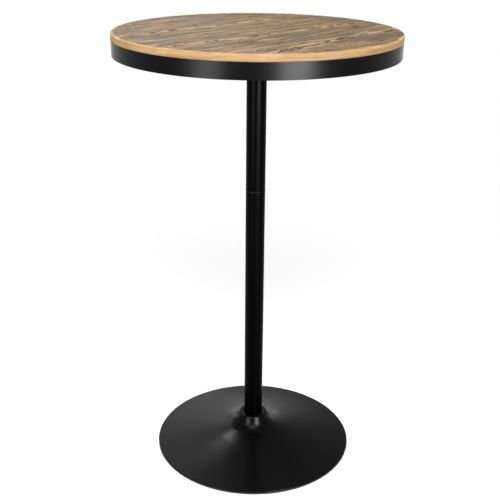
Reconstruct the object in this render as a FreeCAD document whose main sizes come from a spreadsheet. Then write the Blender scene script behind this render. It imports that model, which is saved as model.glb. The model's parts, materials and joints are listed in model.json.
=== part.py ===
import FreeCAD, Part
import math
import os
import re
import sys

import Sketcher

# A round bar table: four edge-glued boards on a steel band and cross frame, a two-piece pole
# and a trumpet-shaped spun foot over an iron ballast plate. Millimetres, +Z up, the origin on
# the floor under the pole's axis, the camera's side of the table towards -Y.

# Driving sizes, one spreadsheet cell each.
SIZES = {
    # Whole table
    "table_height": 1048.0,
    "top_radius": 320.0,
    "base_radius": 247.0,
    "pole_radius": 22.9,
    # Table top
    "board_thickness": 15.0,
    "grain_angle": 45.0,
    "front_seam_tilt": 8.0,
    "top_edge_round": 3.0,
    "pilot_depth": 10.4,
    # Band round the top's underside
    "band_height": 34.4,
    "band_wall": 2.0,
    "band_inset": 0.5,
    "band_edge_round": 0.6,
    "tab_length": 34.0,
    "tab_width": 30.0,
    "tab_thickness": 3.0,
    # Cross frame of rectangular tube
    "tube_width": 30.0,
    "tube_height": 15.0,
    "tube_wall": 1.5,
    "tube_corner": 1.4,
    "hub_side": 170.0,
    "hub_thickness": 4.0,
    "plate_corner": 15.0,
    # Plate on top of the pole
    "column_plate_side": 150.0,
    "column_plate_thickness": 5.0,
    "bolt_spacing": 100.0,
    # Wood screws
    "screw_radius": 2.0,
    "screw_length": 25.0,
    "tab_screw_length": 13.0,
    "screw_head_radius": 4.0,
    "screw_head_height": 2.2,
    "screw_tip_length": 3.0,
    "inner_screw_place": 130.0,
    "outer_screw_place": 235.0,
    # Bolts between the column plate and the hub plate
    "bolt_radius": 4.0,
    "bolt_length": 20.0,
    "bolt_head_radius": 7.0,
    "bolt_head_height": 4.4,
    "bolt_socket_radius": 2.8,
    "bolt_socket_depth": 2.6,
    "washer_radius": 8.0,
    "washer_thickness": 1.6,
    "spring_washer_radius": 7.0,
    "spring_washer_thickness": 2.0,
    "spring_washer_slit": 1.2,
    "weld_nut_radius": 7.5,
    "weld_nut_height": 6.5,
    # Pole in two tubes, screwed together at the seam ring
    "pole_wall": 2.0,
    "seam_height": 681.0,
    "seam_ring_height": 1.8,
    "seam_ring_proud": 0.4,
    "joint_plug_length": 32.0,
    "joint_stud_radius": 8.0,
    "joint_stud_length": 50.0,
    "foot_plug_length": 32.0,
    # Spun steel foot: radius and height of each point that its arcs pass through
    "shell_wall": 2.0,
    "rim_height": 4.6,
    "rim_round": 1.6,
    "flare_radius": 1050.0,
    "flare_knee_radius": 100.0,
    "flare_knee_height": 31.5,
    "neck_flare_radius": 62.5,
    "neck_flare_height": 44.4,
    "neck_radius": 35.0,
    "neck_height": 76.3,
    "neck_round": 2.2,
    "neck_lip_gap": 1.0,
    "neck_lip_round": 2.2,
    "neck_lip_drop": 3.0,
    "neck_bush_height": 16.0,
    # Rubber edge guard pressed on the foot's rim
    "guard_wall": 1.3,
    "guard_floor": 1.2,
    "guard_height": 3.2,
    # Iron ballast under the foot
    "ballast_radius": 165.0,
    "ballast_thickness": 8.0,
    "ballast_floor_gap": 4.0,
    "ballast_edge_round": 2.0,
    "ballast_hub_radius": 45.0,
    "ballast_hub_height": 26.0,
    "centre_recess_radius": 17.0,
    "centre_recess_depth": 14.0,
    "centre_bolt_radius": 6.0,
    "centre_bolt_length": 40.0,
    "centre_bolt_head_radius": 10.9,
    "centre_bolt_head_height": 7.5,
    "centre_washer_radius": 12.0,
    "centre_washer_thickness": 2.5,
    "centre_spring_washer_radius": 10.5,
    "centre_spring_washer_thickness": 3.0,
    # Weld studs that hang the ballast from the foot
    "stud_place": 110.0,
    "stud_radius": 3.0,
    "stud_tail": 1.2,
    "stud_recess_radius": 9.0,
    "stud_recess_depth": 4.6,
    "stud_nut_radius": 5.7,
    "stud_nut_height": 4.0,
    "stud_washer_radius": 6.0,
    "stud_washer_thickness": 1.2,
    # Fits
    "fit_gap": 0.2,
    "hole_clearance": 0.4,
    "thread_clearance": 0.1,
    "overrun": 20.0,
}

# Heights and radii that follow from the driving sizes.
DERIVED = {
    "board_bottom": "(table_height - board_thickness)",
    "board_reach": "(top_radius + overrun)",
    "band_radius": "(top_radius - band_inset)",
    "band_inside": "(band_radius - band_wall)",
    "tube_reach": "(band_inside - fit_gap)",
    "tube_bottom": "(board_bottom - tube_height)",
    "hub_bottom": "(tube_bottom - hub_thickness)",
    "column_top": "(hub_bottom - column_plate_thickness)",
    "tab_place": "(tube_reach - tab_length / 2)",
    "tab_bottom": "(board_bottom - tab_thickness)",
    "washer_bottom": "(column_top - washer_thickness)",
    "spring_washer_bottom": "(washer_bottom - spring_washer_thickness)",
    "screw_hole": "(screw_radius + hole_clearance)",
    "bolt_hole": "(bolt_radius + hole_clearance)",
    "pole_inside": "(pole_radius - pole_wall)",
    "plug_radius": "(pole_inside - fit_gap)",
    "seam_top": "(seam_height + seam_ring_height / 2)",
    "seam_bottom": "(seam_height - seam_ring_height / 2)",
    "shell_radius": "(base_radius - guard_wall)",
    "neck_top": "(neck_height + neck_round)",
    "lip_bottom": "(neck_top - neck_lip_drop - shell_wall)",
    "bush_bottom": "(lip_bottom - fit_gap - neck_bush_height)",
    "guard_inside": "(shell_radius - shell_wall)",
    "ballast_top": "(ballast_floor_gap + ballast_thickness)",
    "foot_bottom": "(ballast_floor_gap + ballast_hub_height)",
    "centre_seat": "(ballast_floor_gap + centre_recess_depth)",
    "centre_washer_bottom": "(centre_seat - centre_washer_thickness)",
    "centre_spring_bottom": "(centre_washer_bottom - centre_spring_washer_thickness)",
    "centre_hole": "(centre_bolt_radius + hole_clearance)",
    "stud_seat": "(ballast_floor_gap + stud_recess_depth)",
    "stud_washer_bottom": "(stud_seat - stud_washer_thickness)",
    "stud_nut_bottom": "(stud_washer_bottom - stud_nut_height)",
    "stud_hole": "(stud_radius + hole_clearance)",
}

# Places of the seams between the boards across the grain, from back to front, as shares of
# the top's radius, and shares of a bolt's and a screw's own radius
SEAM_SHARES = (0.3734, -0.1706, -0.655)
BOLT_FACE_SHARE = 0.72
SCREW_POINT_SHARE = 0.12

FULL_TURN = 360.0
QUARTER_TURNS = (0, 90, 180, 270)
DIAGONALS = (45, 135, 225, 315)

# Radius and directions of every wood screw
SCREW_PLACES = (
    ("inner_screw_place", QUARTER_TURNS),
    ("outer_screw_place", QUARTER_TURNS),
    ("tab_place", DIAGONALS),
)
BOLT_PLACES = [(f"{i} * bolt_spacing / 2", f"{j} * bolt_spacing / 2")
               for i in (-1, 1) for j in (-1, 1)]

WORD = re.compile(r"[a-z]\w+")
FUNCTIONS = ("cos", "sin", "tan", "deg")

doc = FreeCAD.newDocument("BarTable")
sheet = doc.addObject("Spreadsheet::Sheet", "Sizes")
for row, (alias, size) in enumerate(SIZES.items(), start=1):
    cell = f"B{row}"
    sheet.set(f"A{row}", alias)
    sheet.set(cell, str(size))
    sheet.setAlias(cell, alias)
doc.recompute()


# Expressions

def bound(text):
    """A size written in the sheet's aliases, as a FreeCAD expression."""
    def word(match):
        name = match.group(0)
        if name in DERIVED:
            return bound(DERIVED[name])
        return name if name in FUNCTIONS else f"Sizes.{name}"
    return WORD.sub(word, str(text))


def value(text):
    """The same size as a number, for first positions and for shapes made in code."""
    return float(sheet.evalExpression(bound(text)))


def bind(thing, **sizes):
    for prop, text in sizes.items():
        thing.setExpression(prop, bound(text))


def place(thing, x="0", y="0", z="0", turn="0"):
    bind(thing, **{
        ".Placement.Base.x": x,
        ".Placement.Base.y": y,
        ".Placement.Base.z": z,
        ".Placement.Rotation.Angle": f"({turn}) * 1 deg",
    })
    return thing


def polar(radius, turn):
    """Cartesian place of a point given by its radius and angle about the pole."""
    return f"{radius} * cos(({turn}) * 1 deg)", f"{radius} * sin(({turn}) * 1 deg)"


# Sketches and the features made from them

def new_body(label):
    body = doc.addObject("PartDesign::Body", label)
    body.Label = label
    return body


def new_sketch(body, role, offset="0"):
    sketch = body.newObject("Sketcher::SketchObject", f"{body.Name}_sketch")
    plane = next(item for item in body.Origin.OriginFeatures if item.Role == role)
    sketch.AttachmentSupport = [(plane, "")]
    sketch.MapMode = "FlatFace"
    bind(sketch, **{".AttachmentOffset.Base.z": offset})
    return sketch


def pin(sketch, geometry, point, x, y):
    """Fix one point of a sketch at bound coordinates."""
    for axis, text in (("X", x), ("Y", y)):
        fixed = "Distance" + axis
        index = sketch.addConstraint(Sketcher.Constraint(fixed, geometry, point, value(text)))
        sketch.setExpression(f"Constraints[{index}]", bound(text))


def outline(sketch, corners):
    """A closed outline of straight lines through bound corners."""
    spots = [FreeCAD.Vector(value(x), value(y), 0) for x, y in corners]
    ends = spots[1:] + spots[:1]
    lines = [sketch.addGeometry(Part.LineSegment(*pair)) for pair in zip(spots, ends)]
    for line, following in zip(lines, lines[1:] + lines[:1]):
        sketch.addConstraint(Sketcher.Constraint("Coincident", line, 2, following, 1))
    for line, (x, y) in zip(lines, corners):
        pin(sketch, line, 1, x, y)


def rectangle(sketch, left, right, low, high):
    outline(sketch, [(left, low), (right, low), (right, high), (left, high)])


def circle(sketch, radius, x="0", y="0"):
    centre = FreeCAD.Vector(value(x), value(y), 0)
    ring = sketch.addGeometry(Part.Circle(centre, FreeCAD.Vector(0, 0, 1), value(radius)))
    index = sketch.addConstraint(Sketcher.Constraint("Radius", ring, value(radius)))
    sketch.setExpression(f"Constraints[{index}]", bound(radius))
    pin(sketch, ring, 3, x, y)


def pad(body, sketch, length, midplane=False):
    feature = body.newObject("PartDesign::Pad", f"{body.Name}_pad")
    feature.Profile = sketch
    feature.Midplane = midplane
    bind(feature, Length=length)
    doc.recompute()
    return feature


def cut(body, sketch, length, upward=True):
    """Pocket from a sketch; upward cuts along the sketch's normal."""
    before = body.Shape.Volume
    feature = body.newObject("PartDesign::Pocket", f"{body.Name}_pocket")
    feature.Profile = sketch
    feature.Reversed = upward
    bind(feature, Length=length)
    doc.recompute()
    if not body.Shape.Volume < before:
        sys.exit(f"a pocket of {body.Label} removes nothing")
    return feature


def revolve(body, corners):
    """A full turn of a straight-sided section, given as radius and height, about +Z."""
    sketch = new_sketch(body, "XZ_Plane")
    outline(sketch, corners)
    feature = body.newObject("PartDesign::Revolution", f"{body.Name}_turn")
    feature.Profile = sketch
    feature.ReferenceAxis = (sketch, ["V_Axis"])
    feature.Angle = FULL_TURN
    doc.recompute()
    return feature


def round_edges(body, radius, wanted):
    """Fillet the edges of the body's tip for which wanted(edge) holds."""
    tip = body.Tip
    names = [f"Edge{i}" for i, edge in enumerate(tip.Shape.Edges, start=1) if wanted(edge)]
    feature = body.newObject("PartDesign::Fillet", f"{body.Name}_round")
    feature.Base = (tip, names)
    bind(feature, Radius=radius)
    doc.recompute()
    return feature


def near(a, b):
    return math.isclose(a, b, abs_tol=1e-6)


def at_height(height, radius):
    """Picks the circles of one radius that lie flat at one height of the body's own frame."""
    def wanted(edge):
        curve = edge.Curve
        if not isinstance(curve, Part.Circle):
            return False
        return near(curve.Center.z, value(height)) and near(curve.Radius, value(radius))
    return wanted


def upright(edge):
    low, high = (vertex.Point for vertex in (edge.Vertexes[0], edge.Vertexes[-1]))
    return near(low.x, high.x) and near(low.y, high.y) and not near(low.z, high.z)


# Primitives, and groups of identical separate solids

def solid(kind, name, x="0", y="0", z="0", turn="0", **sizes):
    thing = doc.addObject(kind, name)
    bind(thing, **sizes)
    return place(thing, x, y, z, turn)


def cylinder(name, radius, height, z="0"):
    return solid("Part::Cylinder", name, z=z, Radius=radius, Height=height)


def hexagon(name, radius, height, z="0"):
    prism = solid("Part::Prism", name, z=z, Circumradius=radius, Height=height)
    prism.Polygon = 6
    return prism


def minus(name, base, tool):
    thing = doc.addObject("Part::Cut", name)
    thing.Base = base
    thing.Tool = tool
    return thing


def joined(name, *shapes):
    thing = doc.addObject("Part::MultiFuse", name)
    thing.Shapes = list(shapes)
    return thing


def ring(name, inner, outer, height):
    return minus(name, cylinder(f"{name}_disc", outer, height),
                 cylinder(f"{name}_bore", inner, height))


def split_ring(name, inner, outer, height, slit):
    """A spring lock washer with its slit towards +X."""
    gap = solid("Part::Box", f"{name}_gap", y=f"-{slit} / 2", Length=outer, Width=slit,
                Height=height)
    return minus(name, ring(f"{name}_ring", inner, outer, height), gap)


def group(label, unit, places):
    """One node of separate solids: the unit, repeated at (x, y, z, turn)."""
    copies = []
    for number, (x, y, z, turn) in enumerate(places, start=1):
        copy = doc.addObject("App::Link", f"{label}_{number}")
        copy.LinkedObject = unit
        copies.append(place(copy, x, y, z, turn))
    whole = doc.addObject("Part::Compound", label)
    whole.Label = label
    whole.Links = copies
    return whole


def around(radius, turns, height):
    return [(*polar(radius, turn), height, str(turn)) for turn in turns]


# Table top

def seam(share, tilt="0"):
    """The height across the grain, left and right, of a seam's ends beyond the top."""
    rise = f"board_reach * tan({tilt} * 1 deg)"
    return f"{share} * top_radius - {rise}", f"{share} * top_radius + {rise}"


def top_board(label, low, high):
    """One board of the round top, between two seams."""
    body = place(new_body(label), z="board_bottom", turn="grain_angle")
    disc = new_sketch(body, "XY_Plane")
    circle(disc, "top_radius")
    pad(body, disc, "board_thickness")
    for line, outer in ((low, "-board_reach"), (high, "board_reach")):
        if line:
            side = new_sketch(body, "XY_Plane")
            outline(side, [("-board_reach", line[0]), ("board_reach", line[1]),
                           ("board_reach", outer), ("-board_reach", outer)])
            cut(body, side, "board_thickness")
    round_edges(body, "top_edge_round", at_height("board_thickness", "top_radius"))
    pilots = new_sketch(body, "XY_Plane")
    for radius, turns in SCREW_PLACES:
        for turn in turns:
            circle(pilots, "screw_hole", *polar(radius, f"{turn} - grain_angle"))
    cut(body, pilots, "pilot_depth")
    return body


def rim_band():
    body = place(new_body("rim_band"), z="board_bottom - band_height")
    section = new_sketch(body, "XY_Plane")
    circle(section, "band_radius")
    circle(section, "band_inside")
    pad(body, section, "band_height")
    round_edges(body, "band_edge_round", at_height("0", "band_radius"))
    return body


def tab_plate():
    """Small plate welded inside the band, with a hole for its wood screw."""
    body = new_body("tab_unit")
    side = "tab_width / 2"
    sketch = new_sketch(body, "XY_Plane")
    rectangle(sketch, "-tab_length / 2", "tab_length / 2 - fit_gap", f"-{side}", side)
    circle(sketch, "screw_hole")
    pad(body, sketch, "tab_thickness")
    return body


# Cross frame

def cross_tube(label, start, turn):
    """Rectangular tube from start to the band along the turned X axis, ends cut to the band."""
    body = place(new_body(label), z="tube_bottom", turn=turn)
    section = new_sketch(body, "YZ_Plane", start)
    half = "tube_width / 2"
    rectangle(section, f"-{half}", half, "0", "tube_height")
    rectangle(section, f"-({half} - tube_wall)", f"{half} - tube_wall",
              "tube_wall", "tube_height - tube_wall")
    pad(body, section, f"band_radius - ({start})")
    reach, width = value("band_radius") - value(start), value(half)

    def corner(edge):
        middle = edge.CenterOfMass
        return (near(edge.Length, reach) and near(abs(middle.y), width))

    round_edges(body, "tube_corner", corner)
    trim = new_sketch(body, "XY_Plane")
    rectangle(trim, "-board_reach", "board_reach", "-board_reach", "board_reach")
    circle(trim, "tube_reach")
    cut(body, trim, "tube_height")
    holes = new_sketch(body, "XY_Plane")
    for radius in ("inner_screw_place", "outer_screw_place"):
        circle(holes, "screw_hole", radius)
        if value(start) < 0:
            circle(holes, "screw_hole", f"-{radius}")
    cut(body, holes, "tube_height")
    return body


def bolt_plate(label, side, thickness, height):
    """Square plate with rounded corners and one hole for each column bolt."""
    body = place(new_body(label), z=height)
    sketch = new_sketch(body, "XY_Plane")
    rectangle(sketch, f"-{side} / 2", f"{side} / 2", f"-{side} / 2", f"{side} / 2")
    pad(body, sketch, thickness)
    round_edges(body, "plate_corner", upright)
    holes = new_sketch(body, "XY_Plane")
    for x, y in BOLT_PLACES:
        circle(holes, "bolt_hole", x, y)
    cut(body, holes, thickness)
    return body


def at_bolts(height):
    return [(x, y, height, "0") for x, y in BOLT_PLACES]


# Fasteners: each unit stands on its own origin

def wood_screw(name, length):
    """Pan-head screw, its head's underside at height 0 and its tip upward."""
    head = cylinder(f"{name}_head", "screw_head_radius", "screw_head_height",
                    "-screw_head_height")
    shank = cylinder(f"{name}_shank", "screw_radius", f"{length} - screw_tip_length")
    tip = solid("Part::Cone", f"{name}_tip", z=f"{length} - screw_tip_length",
                Radius1="screw_radius", Radius2=f"screw_radius * {SCREW_POINT_SHARE}", Height="screw_tip_length")
    return joined(name, head, shank, tip)


def button_bolt(name):
    """Low-head socket bolt, its head's top face at height 0 and its shank upward."""
    head = solid("Part::Cone", f"{name}_head", z="-bolt_head_height",
                 Radius1=f"bolt_head_radius * {BOLT_FACE_SHARE}", Radius2="bolt_head_radius",
                 Height="bolt_head_height")
    socket = hexagon(f"{name}_socket", "bolt_socket_radius", "bolt_socket_depth",
                     "-bolt_head_height")
    shank = cylinder(f"{name}_shank", "bolt_radius", "bolt_length")
    return joined(name, minus(f"{name}_cut_head", head, socket), shank)


def hex_bolt(name, radius, length, head_radius, head_height):
    head = hexagon(f"{name}_head", head_radius, head_height, f"-{head_height}")
    return joined(name, head, cylinder(f"{name}_shank", radius, length))


def nut(name, radius, height, bore):
    return minus(name, hexagon(f"{name}_block", radius, height),
                 cylinder(f"{name}_bore", bore, height))


# Pole

def tube(label, low, high):
    body = place(new_body(label), z=low)
    section = new_sketch(body, "XY_Plane")
    circle(section, "pole_radius")
    circle(section, "pole_inside")
    pad(body, section, f"{high} - ({low})")
    return body


def plug(label, low, length, bore):
    """Turned steel plug with a threaded bore, pressed and welded in a tube's end."""
    body = place(new_body(label), z=low)
    section = new_sketch(body, "XY_Plane")
    circle(section, "plug_radius")
    circle(section, f"{bore} + thread_clearance")
    pad(body, section, length)
    return body


def seam_plug():
    """The lower tube's plug, whose thin flange shows as the ring at the pole's seam."""
    bore, flange = "joint_stud_radius + thread_clearance", "pole_radius + seam_ring_proud"
    body = place(new_body("lower_joint_plug"), z="seam_bottom - joint_plug_length")
    top = "joint_plug_length + seam_ring_height"
    revolve(body, [(bore, "0"), ("plug_radius", "0"), ("plug_radius", "joint_plug_length"),
                   (flange, "joint_plug_length"), (flange, top), (bore, top)])
    return body


# Foot

def tangent_arc(start, end, heading):
    """Arc from start to end that leaves start along heading; also its heading at the end."""
    chord = end - start
    side = FreeCAD.Vector(-heading.y, heading.x, 0)
    bend = 2 * side.dot(chord) / chord.Length ** 2
    if near(bend, 0):
        return Part.LineSegment(start, end), heading
    centre = start + side / bend
    leave = math.atan2(start.y - centre.y, start.x - centre.x)
    turn = 2 * math.atan2(side.dot(chord), heading.dot(chord))
    middle_angle = leave + turn / 2
    middle = centre + FreeCAD.Vector(math.cos(middle_angle), math.sin(middle_angle), 0) / abs(bend)
    new_heading = FreeCAD.Rotation(FreeCAD.Vector(0, 0, 1), math.degrees(turn)).multVec(heading)
    return Part.Arc(start, middle, end), new_heading


def foot_section():
    """Outer line of the spun foot: rim, three tangent arcs up the neck, flat collar and lip."""
    def spot(x, y):
        return FreeCAD.Vector(value(x), value(y), 0)

    rim_low = spot("shell_radius", "guard_floor")
    rim_top = spot("shell_radius", "rim_height")
    edge = spot("shell_radius - rim_round", "rim_height + rim_round")
    knee = spot("flare_knee_radius", "flare_knee_height")
    flare_end = spot("neck_flare_radius", "neck_flare_height")
    neck = spot("neck_radius", "neck_height")
    lip_radius = "pole_radius + neck_lip_gap"
    crown = spot("neck_radius - neck_round", "neck_top")
    lip_start = spot(f"{lip_radius} + neck_lip_round", "neck_top")
    lip_turn = spot(lip_radius, "neck_top - neck_lip_round")
    lip_end = spot(lip_radius, "lip_bottom")

    chord = knee - edge
    half_bend = math.asin(chord.Length / 2 / value("flare_radius"))
    away = FreeCAD.Rotation(FreeCAD.Vector(0, 0, 1), math.degrees(half_bend))
    first_heading = away.multVec(chord / chord.Length)
    up, inward = FreeCAD.Vector(0, 1, 0), FreeCAD.Vector(-1, 0, 0)

    edges = [Part.LineSegment(rim_low, rim_top)]
    edges.append(tangent_arc(rim_top, edge, up)[0])
    heading = first_heading
    for start, end in ((edge, knee), (knee, flare_end), (flare_end, neck)):
        arc, heading = tangent_arc(start, end, heading)
        edges.append(arc)
    edges.append(tangent_arc(neck, crown, heading)[0])
    edges.append(Part.LineSegment(crown, lip_start))
    edges.append(tangent_arc(lip_start, lip_turn, inward)[0])
    edges.append(Part.LineSegment(lip_turn, lip_end))
    return Part.Wire([edge.toShape() for edge in edges])


def foot_sheet():
    """The section as a face of even thickness on its inner side, radius along X, height along Y."""
    return foot_section().makeOffset2D(-value("shell_wall"), fill=True, openResult=True)


def base_shell():
    spun = foot_sheet().revolve(FreeCAD.Vector(), FreeCAD.Vector(0, 1, 0), FULL_TURN)
    shell = doc.addObject("Part::Feature", "base_shell")
    shell.Label = "base_shell"
    shell.Shape = spun
    shell.Placement = FreeCAD.Placement(FreeCAD.Vector(), FreeCAD.Vector(1, 0, 0), 90)
    return shell


def underside(radius):
    """Height of the shell's inner face at a radius."""
    ray = Part.makeLine(FreeCAD.Vector(radius, 0, 0), FreeCAD.Vector(radius, value("neck_top"), 0))
    return min(vertex.Point.y for vertex in foot_sheet().common(ray).Vertexes)


def edge_guard():
    """Rubber channel, open upward, that grips the rim and stands on the floor."""
    inner = "guard_inside - guard_wall"
    body = new_body("edge_guard")
    revolve(body, [(inner, "0"), ("base_radius", "0"), ("base_radius", "guard_height"),
                   ("shell_radius", "guard_height"), ("shell_radius", "guard_floor"),
                   ("guard_inside", "guard_floor"), ("guard_inside", "guard_height"),
                   (inner, "guard_height")])
    return body


def ballast_plate():
    body = place(new_body("ballast_plate"), z="ballast_floor_gap")
    revolve(body, [("centre_hole", "centre_recess_depth"),
                   ("centre_recess_radius", "centre_recess_depth"),
                   ("centre_recess_radius", "0"), ("ballast_radius", "0"),
                   ("ballast_radius", "ballast_thickness"),
                   ("ballast_hub_radius", "ballast_thickness"),
                   ("ballast_hub_radius", "ballast_hub_height"),
                   ("centre_hole", "ballast_hub_height")])
    round_edges(body, "ballast_edge_round", at_height("ballast_thickness", "ballast_radius"))
    round_edges(body, "ballast_edge_round", at_height("ballast_hub_height", "ballast_hub_radius"))
    for radius, depth in (("stud_recess_radius", "stud_recess_depth"),
                          ("stud_hole", "ballast_thickness")):
        holes = new_sketch(body, "XY_Plane")
        for turn in DIAGONALS:
            circle(holes, radius, *polar("stud_place", turn))
        cut(body, holes, depth)
    return body


def weld_studs():
    """Studs welded under the foot: each reaches the shell's inner face."""
    low = value("stud_nut_bottom - stud_tail")
    length = underside(value("stud_place + stud_radius")) - low
    studs = []
    for turn in DIAGONALS:
        x, y = (value(text) for text in polar("stud_place", turn))
        studs.append(Part.makeCylinder(value("stud_radius"), length, FreeCAD.Vector(x, y, low)))
    node = doc.addObject("Part::Feature", "ballast_studs")
    node.Label = "ballast_studs"
    node.Shape = Part.makeCompound(studs)
    return node


def neck_bush():
    body = place(new_body("neck_bush"), z="bush_bottom")
    section = new_sketch(body, "XY_Plane")
    circle(section, "neck_radius - shell_wall - fit_gap")
    circle(section, "pole_radius + fit_gap")
    pad(body, section, "neck_bush_height")
    return body


back_seam, middle_seam, front_seam = SEAM_SHARES
seams = (None, seam(back_seam), seam(middle_seam), seam(front_seam, "front_seam_tilt"), None)
nodes = [top_board(f"top_board_{number}", low, high)
         for number, (high, low) in enumerate(zip(seams, seams[1:]), start=1)]
nodes.append(rim_band())
nodes.append(group("band_tabs", tab_plate(), around("tab_place", DIAGONALS, "tab_bottom")))
nodes.append(cross_tube("cross_tube_long", "-band_radius", "0"))
nodes.append(cross_tube("cross_tube_front", "tube_width / 2 + fit_gap", "-90"))
nodes.append(cross_tube("cross_tube_back", "tube_width / 2 + fit_gap", "90"))
nodes.append(group("frame_screws", wood_screw("frame_screw", "screw_length"),
                   around("inner_screw_place", QUARTER_TURNS, "tube_bottom")
                   + around("outer_screw_place", QUARTER_TURNS, "tube_bottom")))
nodes.append(group("tab_screws", wood_screw("tab_screw", "tab_screw_length"),
                   around("tab_place", DIAGONALS, "tab_bottom")))
nodes.append(bolt_plate("hub_plate", "hub_side", "hub_thickness", "hub_bottom"))
nodes.append(group("weld_nuts", nut("weld_nut", "weld_nut_radius", "weld_nut_height",
                                    "bolt_radius + thread_clearance"), at_bolts("tube_bottom")))
nodes.append(bolt_plate("column_plate", "column_plate_side", "column_plate_thickness",
                        "column_top"))
nodes.append(group("column_washers", ring("column_washer", "bolt_hole", "washer_radius",
                                          "washer_thickness"), at_bolts("washer_bottom")))
nodes.append(group("column_spring_washers",
                   split_ring("column_spring_washer", "bolt_hole", "spring_washer_radius",
                              "spring_washer_thickness", "spring_washer_slit"),
                   at_bolts("spring_washer_bottom")))
nodes.append(group("column_bolts", button_bolt("column_bolt"), at_bolts("spring_washer_bottom")))
nodes.append(tube("upper_tube", "seam_top", "column_top"))
nodes.append(plug("upper_joint_plug", "seam_top", "joint_plug_length", "joint_stud_radius"))
nodes.append(group("joint_stud", cylinder("stud_rod", "joint_stud_radius", "joint_stud_length"),
                   [("0", "0", "seam_height - joint_stud_length / 2", "0")]))
nodes.append(seam_plug())
nodes.append(tube("lower_tube", "foot_bottom", "seam_bottom"))
nodes.append(plug("foot_plug", "foot_bottom", "foot_plug_length", "centre_bolt_radius"))
nodes.append(base_shell())
nodes.append(neck_bush())
nodes.append(edge_guard())
nodes.append(ballast_plate())
nodes.append(weld_studs())
nodes.append(group("ballast_washers", ring("ballast_washer", "stud_hole", "stud_washer_radius",
                                           "stud_washer_thickness"),
                   around("stud_place", DIAGONALS, "stud_washer_bottom")))
nodes.append(group("ballast_nuts", nut("ballast_nut", "stud_nut_radius", "stud_nut_height",
                                       "stud_radius + thread_clearance"),
                   around("stud_place", DIAGONALS, "stud_nut_bottom")))
nodes.append(group("centre_washer", ring("centre_washer_unit", "centre_hole",
                                         "centre_washer_radius", "centre_washer_thickness"),
                   [("0", "0", "centre_washer_bottom", "0")]))
nodes.append(group("centre_spring_washer",
                   split_ring("centre_spring_unit", "centre_hole", "centre_spring_washer_radius",
                              "centre_spring_washer_thickness", "spring_washer_slit"),
                   [("0", "0", "centre_spring_bottom", "0")]))
nodes.append(group("centre_bolt", hex_bolt("centre_bolt_unit", "centre_bolt_radius",
                                           "centre_bolt_length", "centre_bolt_head_radius",
                                           "centre_bolt_head_height"),
                   [("0", "0", "centre_spring_bottom", "0")]))

doc.recompute()
for thing in doc.Objects:
    if "Invalid" in thing.State or "Error" in thing.State:
        sys.exit(f"{thing.Name} failed: {thing.State}")
os.makedirs("parts", exist_ok=True)
for node in nodes:
    if node.Shape.isNull() or not node.Shape.isValid():
        sys.exit(f"{node.Label} has no valid shape")
for node in nodes:
    node.Shape.exportStep(f"parts/{node.Label}.step")
    print(node.Label, len(node.Shape.Solids), round(node.Shape.Volume / 1000.0, 2), "cm3")
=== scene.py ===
import json
import math

import bpy
import numpy as np
from mathutils import Matrix, Vector


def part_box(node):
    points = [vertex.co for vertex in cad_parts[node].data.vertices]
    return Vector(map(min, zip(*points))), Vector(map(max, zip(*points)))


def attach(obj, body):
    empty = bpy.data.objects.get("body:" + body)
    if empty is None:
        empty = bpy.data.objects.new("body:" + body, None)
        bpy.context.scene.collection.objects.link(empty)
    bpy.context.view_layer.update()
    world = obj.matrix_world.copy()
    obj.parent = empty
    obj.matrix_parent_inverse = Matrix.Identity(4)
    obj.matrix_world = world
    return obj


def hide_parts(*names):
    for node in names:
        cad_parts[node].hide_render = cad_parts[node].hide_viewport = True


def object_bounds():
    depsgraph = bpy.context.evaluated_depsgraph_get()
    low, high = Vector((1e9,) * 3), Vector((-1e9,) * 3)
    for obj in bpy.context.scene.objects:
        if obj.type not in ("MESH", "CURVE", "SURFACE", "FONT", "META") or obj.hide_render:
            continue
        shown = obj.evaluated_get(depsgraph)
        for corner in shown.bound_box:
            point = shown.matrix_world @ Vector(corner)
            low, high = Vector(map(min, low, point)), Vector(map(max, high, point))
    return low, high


MM = 0.001
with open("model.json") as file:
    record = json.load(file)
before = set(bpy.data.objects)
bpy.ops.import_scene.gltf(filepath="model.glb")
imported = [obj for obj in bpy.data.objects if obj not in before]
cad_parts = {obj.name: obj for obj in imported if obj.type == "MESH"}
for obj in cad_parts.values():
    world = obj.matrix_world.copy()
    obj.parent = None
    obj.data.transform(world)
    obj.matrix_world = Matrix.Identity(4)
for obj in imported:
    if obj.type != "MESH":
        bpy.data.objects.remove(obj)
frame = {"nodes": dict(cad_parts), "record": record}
cad_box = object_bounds()

# Sizes read from the frame
board_low, board_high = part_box("top_board_2")
TOP_Z, BOARD_BOTTOM = board_high.z, board_low.z
TOP_RADIUS = max(cad_box[1][0], cad_box[1][1])
BAND_LOW, BAND_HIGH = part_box("rim_band")
BAND_RADIUS = BAND_HIGH.x
TUBE_LOW, TUBE_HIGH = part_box("cross_tube_long")
HUB_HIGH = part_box("hub_plate")[1]
POLE_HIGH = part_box("upper_tube")[1]
TAB_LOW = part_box("band_tabs")[0]

# Boards of the top, in the grain's own axes: along the grain, and across it to the back left.
# The seams are shares of the radius across, and turned from the grain.
GRAIN_TURN = math.radians(45)
SEAM_SHARES = (0.3734, -0.1706, -0.655)
SEAM_TURNS = (0.0, 0.0, math.radians(8))
EDGE_ROUND, LOWER_ROUND = 3.0 * MM, 1.2 * MM
EDGE_STEPS = 5
SIDE_SHARES = (0.33, 0.66, 1.0)
ROW_STEP = 1.0 * MM
COLUMNS = 220
LAST_ROW_ANGLE = math.radians(89.8)
SHARP_ANGLE = math.radians(50)

# Relief of the top face, and dents in the side
GRAIN_SWAY = 9.0 * MM
BROAD_RELIEF, BRUSHED_RELIEF = 0.35 * MM, 0.6 * MM
SIDE_DENT, SIDE_DENT_HEIGHT = 0.4 * MM, 5.0 * MM
SIDE_DENT_TURNS, SIDE_DENT_SEED = 34, 67

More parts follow.
